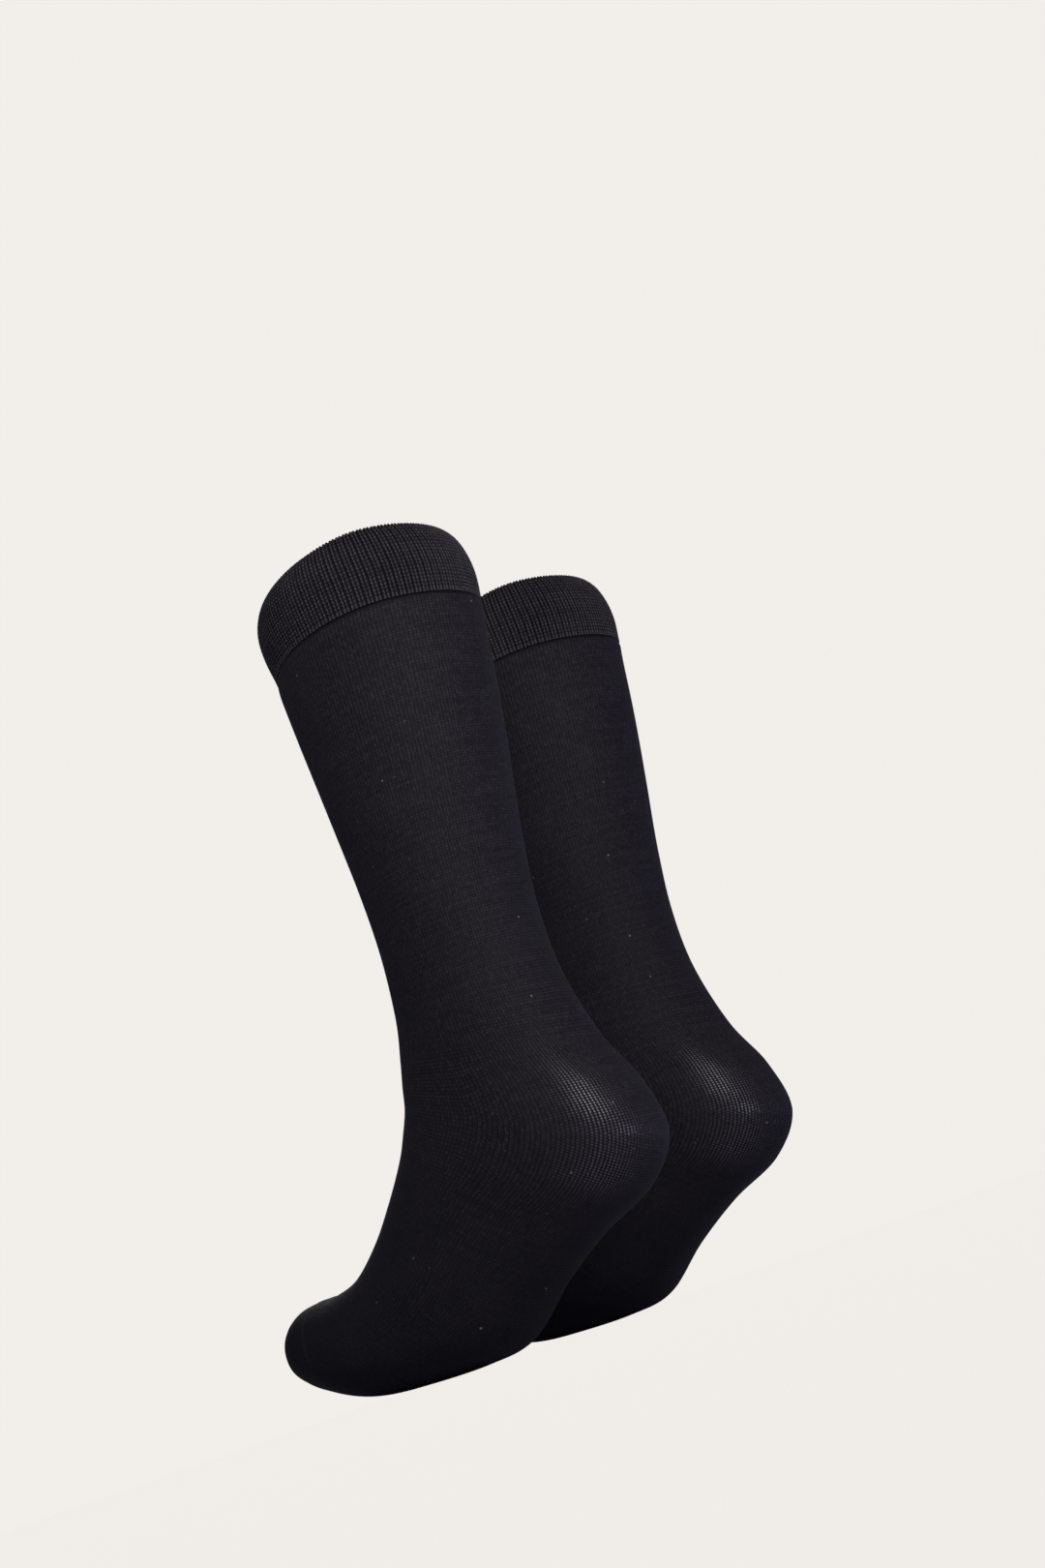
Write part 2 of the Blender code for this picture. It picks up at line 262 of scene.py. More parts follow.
# ---- meshes -----------------------------------------------------------------
@dataclass
class Patchwork:
    """Collects the points, faces, stitch places and masks of one piece of knit."""

    points: list[Array] = field(default_factory=list)
    faces: list[Array] = field(default_factory=list)
    stitches: list[Array] = field(default_factory=list)
    masks: dict[str, list[Array]] = field(default_factory=dict)
    count: int = 0

    def add_points(self, points: Array, **masks: Array) -> int:
        """Adds points and their masks.

        Args:
            points: Points in millimetres, (..., 3).
            masks: One value for each point, for each named mask.

        Returns:
            The number of the first point added.
        """
        start = self.count
        flat = points.reshape(-1, 3)
        self.points.append(flat * MM)
        self.count += len(flat)
        for name, values in masks.items():
            self.masks.setdefault(name, []).append(np.ravel(values))
        return start

    def add_faces(self, faces: Array, stitches: Array) -> None:
        """Adds faces of one size, with the stitch place of each corner."""
        self.faces.append(faces)
        self.stitches.append(stitches.reshape(-1, 2))

    def add_band(self, start: int, wales: Array, above: Array, below: Array, out: bool) -> None:
        """Adds the quads between neighbouring rings.

        Quad (j, i) joins ring j to j + 1 and point i to i + 1, which wraps round.

        Args:
            start: The first point of the first ring.
            wales: Wale numbers of a ring, with one more at the end than it has points.
            above: Course counts (rings, wales) for the upper corners of each band.
            below: Course counts for the lower corners.
            out: True where the faces look away from the middle of the tube.
        """
        size = len(wales) - 1
        ring = np.arange(len(above) - 1)[:, None] * size + start
        here = np.arange(size)[None, :]
        after = (here + 1) % size
        quad = np.stack([ring + here, ring + after, ring + size + after, ring + size + here], -1)
        left, right = np.broadcast_arrays(wales[:-1], above[:-1, :-1])[0], wales[1:]
        right = np.broadcast_to(right, left.shape)
        places = np.stack(
            [
                np.stack([left, above[:-1, :-1]], -1),
                np.stack([right, above[:-1, 1:]], -1),
                np.stack([right, below[1:, 1:]], -1),
                np.stack([left, below[1:, :-1]], -1),
            ],
            axis=-2,
        )
        if not out:
            quad, places = quad[..., ::-1], places[..., ::-1, :]
        self.add_faces(quad.reshape(-1, 4), places)

    def add_edge(self, first: int, second: int, size: int, wales: Array, course: float) -> None:
        """Adds the quads that join two rings of the same size, at one course.

        Args:
            first: The first point of one ring.
            second: The first point of the other.
            size: How many points each has.
            wales: Wale numbers of a ring, with one more at the end than it has points.
            course: The course count of both.
        """
        here = np.arange(size)
        after = (here + 1) % size
        quad = np.stack([first + here, second + here, second + after, first + after], -1)
        level = np.full(size, course)
        near = np.stack([wales[:-1], level], -1)
        far = np.stack([wales[1:], level], -1)
        self.add_faces(quad, np.stack([near, near, far, far], axis=1))

    def add_fan(self, ring: int, pole: int, wales: Array, courses: Array, out: bool) -> None:
        """Adds the triangles from a ring to a single point, the tip of the toe.

        Args:
            ring: The first point of the ring.
            pole: The single point.
            wales: Wale numbers of the ring, with one more at the end than it has points.
            courses: Course counts, one for each of the wale numbers.
            out: True where the faces look away from the middle of the tube.
        """
        size = len(wales) - 1
        here = np.arange(size)
        fan = np.stack([ring + here, ring + (here + 1) % size, np.full(size, pole)], -1)
        near = np.stack([wales[:-1], courses[:-1]], -1)
        far = np.stack([wales[1:], courses[1:]], -1)
        places = np.stack([near, far, (near + far) / 2 + [0.0, 0.5]], axis=1)
        if not out:
            fan, places = fan[:, ::-1], places[:, ::-1]
        self.add_faces(fan, places)

    def piece(self, name: str, material: bpy.types.Material) -> bpy.types.Object:
        """Makes the mesh object, at the origin, with its place in its points.

        Args:
            name: The piece's name.
            material: Its finish.

        Returns:
            The object, linked to the scene, with smooth shading.
        """
        mesh = bpy.data.meshes.new(name)
        faces = [face for group in self.faces for face in group.tolist()]
        mesh.from_pydata(np.concatenate(self.points).tolist(), [], faces)
        layer = mesh.uv_layers.new(name="stitches")
        layer.data.foreach_set("uv", np.concatenate(self.stitches).astype(np.float32).ravel())
        for mask, values in self.masks.items():
            attribute = mesh.attributes.new(mask, "FLOAT", "POINT")
            attribute.data.foreach_set("value", np.concatenate(values).astype(np.float32))
        mesh.polygons.foreach_set("use_smooth", np.ones(len(faces), dtype=bool))
        mesh.materials.append(material)
        mesh.update()
        piece = bpy.data.objects.new(name, mesh)
        bpy.context.scene.collection.objects.link(piece)
        return piece


# ---- shader maths -----------------------------------------------------------
class Value:
    """A number socket of a shader, with the usual operators."""

    def __init__(self, graph: "Graph", socket: bpy.types.NodeSocket) -> None:
        """Keeps the graph that the socket belongs to."""
        self.graph = graph
        self.socket = socket

    def math(self, operation: str, *others: Any) -> "Value":
        """One Math node: this value first, then the others."""
        return self.graph.math(operation, self, *others)

    def __add__(self, other: Any) -> "Value":
        """self + other."""
        return self.math("ADD", other)

    def __sub__(self, other: Any) -> "Value":
        """self - other."""
        return self.math("SUBTRACT", other)

    def __mul__(self, other: Any) -> "Value":
        """self * other."""
        return self.math("MULTIPLY", other)

    def __truediv__(self, other: Any) -> "Value":
        """self / other."""
        return self.math("DIVIDE", other)

    def __rsub__(self, other: Any) -> "Value":
        """other - self."""
        return self.graph.math("SUBTRACT", other, self)

    def __pow__(self, other: Any) -> "Value":
        """self to the power of other."""
        return self.math("POWER", other)

    def __abs__(self) -> "Value":
        """The size of self."""
        return self.math("ABSOLUTE")

    __radd__ = __add__
    __rmul__ = __mul__

    def wave(self) -> "Value":
        """One full cosine wave for each whole number, from 0 to 1."""
        return (self * math.tau).math("COSINE") * 0.5 + 0.5

    def step(self, low: float, high: float) -> "Value":
        """Eases from 0 at low to 1 at high, as smooth_step does.

        Args:
            low: Where it leaves 0.
            high: Where it reaches 1.

        Returns:
            Values from 0 to 1.
        """
        node = self.graph.node(
            "ShaderNodeMapRange",
            {"interpolation_type": "SMOOTHSTEP"},
            {"Value": self, "From Min": low, "From Max": high},
        )
        return Value(self.graph, node.outputs["Result"])


class Graph:
    """The node tree of one material, or of the room, built up with few words."""

    def __init__(self, owner: bpy.types.Material | bpy.types.World) -> None:
        """Empties the tree.

        Args:
            owner: The material or world that it belongs to.
        """
        owner.use_nodes = True
        self.owner = owner
        self.tree = owner.node_tree
        self.tree.nodes.clear()

    def node(self, kind: str, settings: dict[str, Any], sockets: dict[Any, Any]) -> bpy.types.Node:
        """Adds any node.

        Args:
            kind: Its type name.
            settings: Its properties, set first.
            sockets: Its inputs by name or number, each a value, Value or socket.

        Returns:
            The node.
        """
        node = self.tree.nodes.new(kind)
        for name, value in settings.items():
            setattr(node, name, value)
        for name, value in sockets.items():
            self.feed(node.inputs[name], value)
        return node

    def feed(self, target: bpy.types.NodeSocket, value: Any) -> None:
        """Links a Value or socket to an input, or sets the input.

        Args:
            target: The input.
            value: The Value or socket, or what the input is set to.
        """
        if isinstance(value, Value):
            value = value.socket
        if isinstance(value, bpy.types.NodeSocket):
            self.tree.links.new(value, target)
        else:
            target.default_value = value

    def math(self, operation: str, *values: Any) -> Value:
        """One Math node.

        Args:
            operation: What it works out.
            values: Its inputs in order, each a number, Value or socket.

        Returns:
            The result.
        """
        sockets = dict(enumerate(values))
        node = self.node("ShaderNodeMath", {"operation": operation}, sockets)
        return Value(self, node.outputs[0])

    def mix(self, share: Any, first: Any, second: Any) -> bpy.types.NodeSocket:
        """Mixes two colours, first * (1 - share) + second * share.

        Args:
            share: How much there is of the second, from 0 to 1.
            first: One colour, with its alpha, or its socket.
            second: The other.

        Returns:
            The socket of the mixed colour.
        """
        sockets = {0: share, 6: first, 7: second}
        node = self.node("ShaderNodeMix", {"data_type": "RGBA"}, sockets)
        return node.outputs[2]

    def uv(self) -> tuple[Value, Value]:
        """Reads the stitch map.

        Returns:
            The wale number and the course number.
        """
        place = self.node("ShaderNodeUVMap", {"uv_map": "stitches"}, {})
        parts = self.node("ShaderNodeSeparateXYZ", {}, {0: place.outputs[0]})
        return Value(self, parts.outputs[0]), Value(self, parts.outputs[1])

    def mask(self, name: str) -> Value:
        """A mask kept with the points of the piece."""
        node = self.node("ShaderNodeAttribute", {"attribute_name": name}, {})
        return Value(self, node.outputs["Fac"])

    def noise(self, scale: float, detail: float) -> Value:
        """Soft noise in the object's own space.

        Args:
            scale: Waves to a metre.
            detail: How many finer waves lie on them.

        Returns:
            Values about 0.5.
        """
        place = self.node("ShaderNodeTexCoord", {}, {})
        sockets = {"Vector": place.outputs["Object"], "Scale": scale, "Detail": detail}
        return Value(self, self.node("ShaderNodeTexNoise", {}, sockets).outputs[0])

    def cells(self, first: Value, second: Value) -> Value:
        """Soft noise over two numbers.

        Args:
            first: One number; the noise has about one wave to each 1 of it.
            second: The other.

        Returns:
            Values about 0.5.
        """
        place = self.node("ShaderNodeCombineXYZ", {}, {0: first, 1: second})
        sockets = {"Vector": place.outputs[0], "Scale": 1.0, "Detail": 1.0}
        return Value(self, self.node("ShaderNodeTexNoise", {}, sockets).outputs[0])

    def chance(self, first: Value, second: Value) -> Value:
        """A number of its own for each pair of whole numbers.

        Args:
            first: One whole number.
            second: The other.

        Returns:
            Values from 0 to 1, evenly spread.
        """
        place = self.node("ShaderNodeCombineXYZ", {}, {0: first, 1: second})
        noise = self.node(
            "ShaderNodeTexWhiteNoise", {"noise_dimensions": "2D"}, {"Vector": place.outputs[0]}
        )
        return Value(self, noise.outputs["Value"])

    def bump(self, height: Value, strength: float, depth: float, after: Any = None) -> Any:
        """Tilts the surface as a height would.

        Args:
            height: The height, from 0 to 1.
            strength: How much of the tilt is used, from 0 to 1.
            depth: How high 1 is, in metres.
            after: The normal that it adds to, or None for the surface's own.

        Returns:
            The socket of the new normal.
        """
        sockets = {"Strength": strength, "Distance": depth, "Height": height}
        if after is not None:
            sockets["Normal"] = after
        return self.node("ShaderNodeBump", {}, sockets).outputs[0]

    def finish(self, sockets: dict[str, Any]) -> bpy.types.Material:
        """Closes the graph with a Principled surface.

        Args:
            sockets: Its inputs by name.

        Returns:
            The material.
        """
        shader = self.node("ShaderNodeBsdfPrincipled", {}, sockets)
        self.node("ShaderNodeOutputMaterial", {}, {0: shader.outputs[0]})
        return self.owner


@dataclass(frozen=True)
class KnitFinish:
    """Fine black yarn, knitted.

    The stitch is a V: its two legs lean from the edges of the wale down to its
    middle, so the height is round across each leg and waves along it. Yarn, gap and
    lint are colours, and relief and fuzz_relief are depths in metres. A pair of
    numbers is the range over which a look sets in or fades. The other numbers are
    shares, from 0 to 1, or how many times lighter a colour is.
    """

    name: str
    yarn: Colour
    gap: Colour
    middle: float
    leg_at: float
    cleft: float
    beading: float
    relief: float
    grain: float
    painted_glint: float
    roughness: float
    gloss: float
    lint_share: float
    lint: Colour = (0.55, 0.52, 0.55)
    lint_to_metre: float = 95.0
    clouds_to_metre: float = 28.0
    fuzz_to_metre: float = 900.0
    lint_edge: tuple[float, float] = (0.03, 0.07)
    streak_share: float = 0.7
    round_share: float = 0.75
    yarn_share: float = 0.75
    yarn_range: tuple[float, float] = (0.05, 1.1)
    fuzz_share: float = 0.4
    fuzz_relief: float = 0.00004
    rough_spread: float = 0.12
    cloud_share: float = 0.05
    cloud_range: tuple[float, float] = (0.35, 0.75)
    seam_share: float = 0.3
    paler: float = 1.35
    # How many times lighter than the yarn the painted highlight and the painted sparkle are.
    brighter: float = 3.5
    painted_glint_range: tuple[float, float] = (0.80, 1.0)
    tight_share: float = 0.6
    tops_range: tuple[float, float] = (0.25, 0.9)
    tops_spread: float = 0.6
    tight_roughness: float = 0.285
    sheen: float = 0.02
    sheen_roughness: float = 0.34
    sheen_tint: Colour = (0.80, 0.74, 1.0)

    def stitch(self, graph: Graph) -> tuple[Value, Value]:
        """The stitches, each a V.

        Across is 0 in the middle of the V and 1 half a wale away from it.

        Args:
            graph: The material's graph.

        Returns:
            The height, from 0 in the gaps to 1 on the yarn, and a number of its own
            from 0 to 1 for each leg of each stitch.
        """
        wale, course = graph.uv()
        across = abs((wale + self.middle).math("FRACT") - 0.5) * 2.0
        outer = ((across - self.leg_at) / (1.0 - self.leg_at)).math("MAXIMUM", 0.0)
        inner = (1.0 - across / self.leg_at).math("MAXIMUM", 0.0)
        leg = 1.0 - outer * outer - inner * inner * self.cleft
        along = course + across * 0.5
        height = leg * (along.wave() * self.beading + (1.0 - self.beading))
        return height, graph.chance((wale * 2.0).math("FLOOR"), (along + 0.5).math("FLOOR"))

    def streaks(self, graph: Graph) -> Value:
        """Unevenness of the yarn: it runs on round the courses and down the wales.

        Args:
            graph: The material's graph.

        Returns:
            Noise about 0.5, long along the courses, and a share of it long along the
            wales.
        """
        wale, course = graph.uv()
        round_courses = graph.cells(wale * 0.04, course * 0.9)
        down_wales = graph.cells(wale * 0.9 + 31.0, course * 0.05)
        return round_courses * self.round_share + down_wales * (1.0 - self.round_share)

    def tops(self, graph: Graph, chance: Value) -> Value:
        """The tops of the stitches, a dot for each, which take the glossy coat and a painted highlight
        on the heel.

        A dot is a wave across the wales times a wave along the courses, of which 0.3
        is left between the dots, and each stitch has a brightness of its own.

        Args:
            graph: The material's graph.
            chance: Each leg's own number.

        Returns:
            Values from 0 between the tops to 1 - tops_spread / 2 or more on them.
        """
        wale, course = graph.uv()
        dots = (wale + self.middle + 0.5).wave() * ((course + 0.25).wave() * 0.7 + 0.3)
        own = chance * self.tops_spread + (1.0 - self.tops_spread / 2.0)
        return dots.step(*self.tops_range) * own

    def specks(self, graph: Graph) -> Value:
        """Where a speck of pale lint clings, thinly scattered: few are bright.

        Space is cut into cells, each of which has a speck in its middle, as bright as
        the square of the cell's own number.

        Args:
            graph: The material's graph.

        Returns:
            Values from 0, where there is none, to lint_share.
        """
        place = graph.node("ShaderNodeTexCoord", {}, {})
        sockets = {"Vector": place.outputs["Object"], "Scale": self.lint_to_metre}
        cells = graph.node("ShaderNodeTexVoronoi", {}, sockets)
        chosen = graph.node("ShaderNodeSeparateColor", {}, {0: cells.outputs["Color"]})
        far = Value(graph, cells.outputs["Distance"]).step(*self.lint_edge)
        return (1.0 - far) * Value(graph, chosen.outputs[0]) ** 2.0 * self.lint_share

    def times(self, factor: float) -> tuple[float, ...]:
        """The yarn's colour made lighter, with its alpha."""
        return (*(part * factor for part in self.yarn), 1.0)

    def build(self) -> bpy.types.Material:
        """Makes the material.

        The yarn shows where a stitch stands up, and the gap between. The masks darken it
        with painted shade, make it paler along the seams and the welt's lip, and on the
        heel give its tops a glossy coat and a painted highlight. A painted sparkle lightens
        a few single stitches.

        Returns:
            The material.
        """
        graph = Graph(bpy.data.materials.new(self.name))
        stitch, chance = self.stitch(graph)
        gap, bright = (*self.gap, 1.0), self.times(self.brighter)
        cloudy = graph.noise(self.clouds_to_metre, 3.0)
        fuzz = graph.noise(self.fuzz_to_metre, 2.0)
        streaks = (self.streaks(graph) - 0.5) * self.streak_share
        uneven = streaks + (chance - 0.5) * self.grain
        # Painted shade: where the shade mask lies, the yarn is darkened towards the gap colour.
        clear_of_painted_shade = 1.0 - graph.mask("shade")
        yarn_and_painted_shade = (stitch * (uneven + self.yarn_share) + (fuzz - 0.5) * self.fuzz_share) * clear_of_painted_shade
        colour = graph.mix(yarn_and_painted_shade.step(*self.yarn_range), gap, self.times(1.0))
        pale = cloudy.step(*self.cloud_range) * self.cloud_share + graph.mask("seam") * self.seam_share
        colour = graph.mix(pale, colour, self.times(self.paler))
        # Painted highlight: a few single stitches are painted much lighter as sparkle, fainter under
        # the painted shade.
        painted_glints = chance.step(*self.painted_glint_range) * stitch * clear_of_painted_shade * self.painted_glint
        colour = graph.mix(painted_glints, colour, bright)
        # Painted highlight: on the heel the stitch tops are painted much lighter and the gaps near
        # black, besides the real glossy coat.
        stretched, tops = graph.mask("stretched"), self.tops(graph, chance)
        tight = graph.mix(tops, gap, bright)
        colour = graph.mix(stretched * stretched * self.tight_share, colour, tight)
        colour = graph.mix(self.specks(graph), colour, (*self.lint, 1.0))
        normal = graph.bump(stitch, 1.0, self.relief)
        normal = graph.bump(fuzz, 0.5, self.fuzz_relief, normal)
        return graph.finish(
            {
                "Base Color": colour,
                "Roughness": self.roughness + (fuzz - 0.5) * self.rough_spread,
                "Specular IOR Level": self.gloss,
                "Coat Weight": tops * stretched,
                "Coat Roughness": self.tight_roughness,
                "Sheen Weight": self.sheen,
                "Sheen Roughness": self.sheen_roughness,
                "Sheen Tint": (*self.sheen_tint, 1.0),
                "Normal": normal,
            }
        )


JERSEY = KnitFinish(
    name="plain_jersey",
    yarn=(0.0360, 0.0318, 0.0410),
    gap=(0.003, 0.0026, 0.0040),
    middle=0.0,
    leg_at=0.4,
    cleft=0.35,
    beading=0.40,
    relief=0.00011,
    grain=0.28,
    painted_glint=0.06,
    roughness=0.72,
    gloss=0.14,
    lint_share=0.30,
)
RIBBING = KnitFinish(
    name="ribbed_welt",
    yarn=(0.094, 0.084, 0.103),
    # The gap colour shows between the stitches, and the painted shade in the grooves turns to it.
    gap=(0.0020, 0.0017, 0.0026),
    middle=0.5,
    leg_at=0.48,
    cleft=0.85,
    beading=0.6,
    relief=0.00008,
    grain=0.25,
    painted_glint=0.0,
    roughness=0.62,
    gloss=0.14,
    lint_share=0.05,
)


# ---- the jersey tube --------------------------------------------------------
@dataclass(frozen=True)
class GlossAndPaintedHighlightPatch:
    """A soft oval on a tube where the knit has a glossy coat and a painted highlight, strongest in its
    middle.
    """

    course: float
    length: float
    angle: float
    width: float
    strength: float = 1.0

    def share(self, place: Array, around: Array) -> Array:
        """strength * exp(-((place - course) / length)^2 - ((around - angle) / width)^2).

        Args:
            place: Course numbers.
            around: Angles from the middle of the back, to either side.

        Returns:
            How strong the glossy coat and the painted highlight are, from 0 to strength.
        """
        along = (place - self.course) / self.length
        across = (around - self.angle) / self.width
        return self.strength * np.exp(-(along**2) - across**2)


@dataclass
class JerseyTube:
    """The plain leg, heel, foot and toe of one sock, knitted in one run.

    Rises and the wall are in millimetres. Widths and places of seams are in course
    numbers of the form, and the fades in radians round the tube, over which a seam
    ends. Heel_half is the cosine of the angle from which the heel pocket starts. The
    ankle, foot and toe shares say how much darker the knit is painted there, as
    painted shade, and edge_shade_length how far a painted shadow reaches below the welt.
    """

    form: SockForm
    wales: int = 168
    course_height: float = 1.3
    wall: float = 1.6
    seam_gap: float = 0.3
    under_welt: float = 0.8
    under_welt_length: float = 0.35
    edge_shade_length: float = 0.2
    gore_rise: float = 0.06
    gore_width: float = 0.085
    gore_fade: tuple[float, float] = (1.0, 1.45)
    gore_shown: float = 0.3
    toe_seam_rise: float = 0.30
    toe_seam_at: float = 0.35
    toe_seam_width: float = 0.06
    toe_seam_fade: tuple[float, float] = (1.35, 1.6)
    toe_seam_shown: float = 0.75
    heel_half: tuple[float, float] = (-0.25, 0.35)
    slack: float = 0.12
    # How much painted shade darkens the knit over the foot, the toe and the ankle.
    foot_painted_shade: float = 0.36
    toe_painted_shade: float = 0.16
    ankle_painted_shade: float = 0.15
    # The heel's patches of glossy coat and painted highlight.
    tight: tuple[GlossAndPaintedHighlightPatch, ...] = (
        GlossAndPaintedHighlightPatch(course=12.45, length=0.76, angle=0.76, width=0.29),
        GlossAndPaintedHighlightPatch(course=13.7, length=0.50, angle=0.72, width=0.40, strength=0.7),
    )
    closing_degrees: tuple[float, ...] = (0.0, 12.0, 26.0, 40.0, 54.0, 68.0, 80.0)
    flat: tuple[float, float] = (0.210, 0.460)

    @property
    def name(self) -> str:
        """The piece's name."""
        return f"{self.form.side.prefix}_jersey"

    def stations(self) -> Array:
        """Course numbers of the rings, closer together where the tube turns.

        Returns:
            Rising numbers, from the lower edge of the welt nearly to the tip.
        """
        row = self.form.row_of
        runs = (
            ("welt_end", "leg_top", 8),
            ("leg_top", "heel_start", 66),
            ("heel_start", "heel_gore", 24),
            ("heel_gore", "heel_end", 24),
            ("heel_end", "toe_start", 50),
            ("toe_start", "toe_end", 22),
        )
        steps = [np.linspace(row(a), row(b), n, endpoint=False) for a, b, n in runs]
        closing = self.form.last + np.array(self.closing_degrees) / 90.0
        return np.concatenate([*steps, closing])

    def angles(self) -> Array:
        """Angles of the wales, with the first again at the end."""
        return np.linspace(0.0, math.tau, self.wales + 1)

    def courses(self, at: Array, angles: Array) -> tuple[Array, Array]:
        """Counts courses down the tube, apart above and below each gore line.

        On the leg and foot the courses are level. In the heel the half behind the
        ankle is knitted to and fro, so there the count follows the cloth's own
        length, from the leg above the gore line and from the foot below it. The
        half over the instep has the same courses all along the turn.

        Args:
            at: Course numbers of the rings.
            angles: Angles of the wales.

        Returns:
            The counts above and below, the same but in the heel.
        """
        row = self.form.row_of
        points = self.form.rings(at, angles)
        length = np.zeros(points.shape[:2])
        length[1:] = np.cumsum(np.linalg.norm(np.diff(points, axis=0), axis=-1), axis=0)
        first = np.searchsorted(at, row("heel_start"))
        last = np.searchsorted(at, row("heel_end"))
        mean = length.mean(axis=1, keepdims=True) / self.course_height
        mean = np.broadcast_to(mean, length.shape)
        within = (length - length[first]) / self.course_height
        total = within[last]
        front = total[len(angles) // 2]
        behind = smooth_step(np.cos(angles), *self.heel_half)
        scale = front / total * (1.0 - behind) + behind
        above, below = mean.copy(), mean.copy()
        heel = slice(first, last + 1)
        above[heel] = mean[first] + scale * within[heel]
        below[heel] = mean[first] + front - scale * (total - within[heel])
        beyond = mean[last:] - mean[last] + mean[first] + front
        above[last:], below[last:] = beyond, beyond
        gore = np.searchsorted(at, row("heel_gore"))
        above[gore + 1 : last] = below[gore + 1 : last]
        return above, self.split_at(gore, above, below)

    @staticmethod
    def split_at(gore: int, above: Array, below: Array) -> Array:
        """Puts both counts on the gore line, where they meet.

        Args:
            gore: The ring of the gore line.
            above: Counts from the leg and, past the gore line, from the foot. They
                become those for the upper corners of the bands.
            below: Counts from the foot.

        Returns:
            Counts for the lower corners of the bands.
        """
        lower = above.copy()
        kept = above[gore].copy()
        above[gore] = below[gore]
        lower[gore] = kept
        return lower

    def relief(self, at: Array, angles: Array) -> tuple[Array, dict[str, Array]]:
        """How far the knit stands out, and its masks.

        Besides the seams it stands out and in by the slack of the cloth, two slow
        waves, sin(1.7 course + 2 sin(angle)) * sin(3 angle + course).

        Args:
            at: Course numbers of the rings.
            angles: Angles of the wales.

        Returns:
            The rise in millimetres, and the masks: seam, shade, and the mask of the heel's
            glossy coat and painted highlight. Shade is painted shade: the knit is painted darker
            towards the ankle, foot and toe, and a painted shadow lies on the first course, under
            the welt. The gore line runs on the heel's half of the tube and the linked seam on
            the instep's.
        """
        row = self.form.row_of
        place, turn = np.meshgrid(at, angles, indexing="ij")
        around = np.abs((turn + math.pi) % math.tau - math.pi)
        gore = self.ridge(place, row("heel_gore"), self.gore_width)
        gore *= 1.0 - smooth_step(around, *self.gore_fade)
        toe = self.ridge(place, row("toe_start") + self.toe_seam_at, self.toe_seam_width)
        toe *= smooth_step(around, *self.toe_seam_fade)
        top = row("welt_end")
        sink = 1.0 - smooth_step(place, top, top + self.under_welt_length)
        slack = np.sin(place * 1.7 + 2.0 * np.sin(turn)) * np.sin(3.0 * turn + place)
        rise = self.gore_rise * gore + self.toe_seam_rise * toe
        rise += self.slack * slack - self.under_welt * sink
        # Painted shade: the knit is painted darker from the ankle down over the foot and toe.
        painted_lower_shade = self.foot_painted_shade * smooth_step(place, row("heel_back"), row("ball_rear"))
        painted_lower_shade += self.toe_painted_shade * smooth_step(place, row("ball"), row("toe_start"))
        painted_lower_shade += self.ankle_painted_shade * smooth_step(place, row("leg_top"), row("ankle"))
        # Painted shadow on the first course, under the welt.
        edge = 1.0 - smooth_step(place, top, top + self.edge_shade_length)
        masks = {
            "seam": np.maximum(self.gore_shown * gore, self.toe_seam_shown * toe),
            "stretched": sum(patch.share(place, around) for patch in self.tight),
            "shade": np.maximum(painted_lower_shade, edge),
        }
        return rise, masks

    @staticmethod
    def ridge(place: Array, middle: float, width: float) -> Array:
        """A roof 1 high over a course number, which falls to 0 at its width."""
        return np.clip(1.0 - np.abs(place - middle) / width, 0.0, 1.0)

    def build(self) -> bpy.types.Object:
        """Makes the tube as a closed shell, open at the top.

        Returns:
            The piece, fastened to the frame.
        """
        work = Patchwork()
        at, angles = self.stations(), self.angles()
        wales = angles / math.tau * self.wales
        above, below = self.courses(at, angles)
        rise, masks = self.relief(at, angles[:-1])
        normals = self.form.outward(at, angles[:-1])
        outside = self.form.rings(at, angles[:-1]) + rise[..., None] * normals
        outside[0] += self.form.toeward(at[:1])[0] * self.seam_gap / 2
        start = work.add_points(outside, **masks)
        work.add_band(start, wales, above, below, out=True)
        tip = self.form.rings(np.array([self.form.last + 1.0]), angles[:1])[0]
        pole = work.add_points(tip, **{name: mask[-1, 0] for name, mask in masks.items()})
        work.add_fan(start + (len(at) - 1) * self.wales, pole, wales, above[-1], out=True)
        self.line(work, outside, normals, wales, above, tip)
        piece = work.piece(self.name, JERSEY.build())
        LOG.info("%s: %d points, %d rings", piece.name, work.count, len(at))
        return self.declare(piece)

    def line(
        self, work: Patchwork, outside: Array, normals: Array, wales: Array, above: Array, tip: Array
    ) -> None:
        """Adds the inside of the wall, and joins it to the outside at the top.

        Args:
            work: The patchwork that holds the outside.
            outside: Its points.
            normals: Their outward normals.
            wales: Wale numbers of a ring.
            above: Course counts of the rings.
            tip: The point that closes the toe.
        """
        inside = outside - self.wall * normals
        blank = np.zeros(inside.shape[:2])
        start = work.add_points(inside, seam=blank, stretched=blank, shade=blank)
        work.add_band(start, wales, above, above, out=False)
        inner = tip + [[0.0, self.wall, 0.0]]
        inner_tip = work.add_points(inner, seam=[0.0], stretched=[0.0], shade=[0.0])
        last = start + (len(inside) - 1) * self.wales
        work.add_fan(last, inner_tip, wales, above[-1], out=False)
        work.add_edge(0, start, self.wales, wales, above[0, 0])

    def declare(self, piece: bpy.types.Object) -> bpy.types.Object:
        """Fastens the piece to the frame and hides the frame's solids that it covers.

        Args:
            piece: The finished piece.

        Returns:
            The same piece.
        """
        prefix = self.form.side.prefix
        nodes = [f"{prefix}_{part}" for part in ("leg", "heel", "foot", "toe")]
        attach(piece, BODY)
        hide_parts(*nodes)
        return piece


